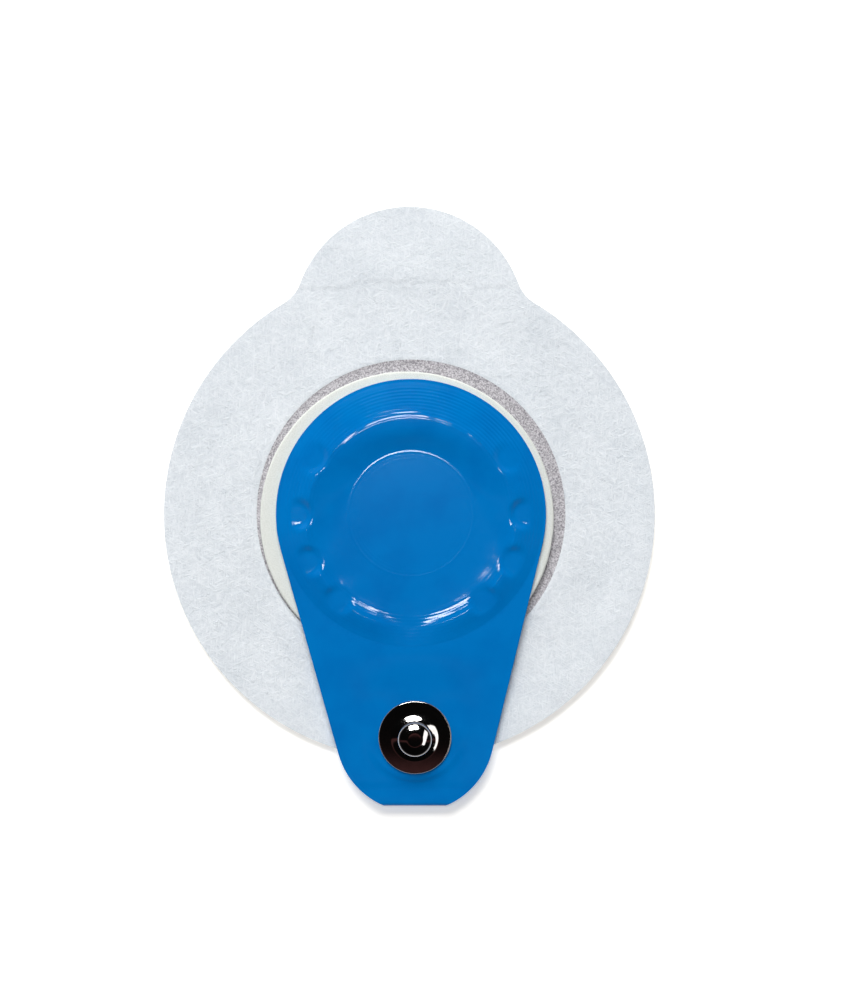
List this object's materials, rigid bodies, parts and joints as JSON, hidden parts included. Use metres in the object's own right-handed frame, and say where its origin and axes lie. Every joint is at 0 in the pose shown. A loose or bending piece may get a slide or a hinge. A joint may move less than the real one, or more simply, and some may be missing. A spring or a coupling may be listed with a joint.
{
  "type": "ecg electrode",
  "caption": "Disposable wet-gel ECG electrode: white nonwoven disc with a pull tab, blue film cap, and a folded tongue carrying an offset snap stud.",
  "frame": {"origin": "middle of the gel sponge's skin face, on the underside", "axes": "+Z away from the skin, +Y towards the pull tab, so the snap stud lies towards -Y"},
  "size_m": [0.0552, 0.0672, 0.0048],
  "materials": {
    "adhesive": "tacky translucent coat",
    "strip_film": "smooth release coated film",
    "nonwoven": "matt white nonwoven with short fibres",
    "foam": "fine closed-cell foam, creamy white",
    "gel_sponge": "wet open-cell sponge",
    "silver_chloride": "dull silver and silver chloride coat on film",
    "silver_coat": "dull silver coat",
    "blue_film": "semi-gloss formed film",
    "nickel": "bright nickel plate"
  },
  "bodies": {
    "root": {"skin_adhesive": "adhesive", "tab_strip": "strip_film", "backing_disc": "nonwoven", "foam_ring": "foam", "gel_sponge": "gel_sponge", "sensor_strip": "silver_chloride", "stud_eyelet": "silver_coat", "top_film": "blue_film", "snap_stud": "nickel"}
  },
  "joints": []
}
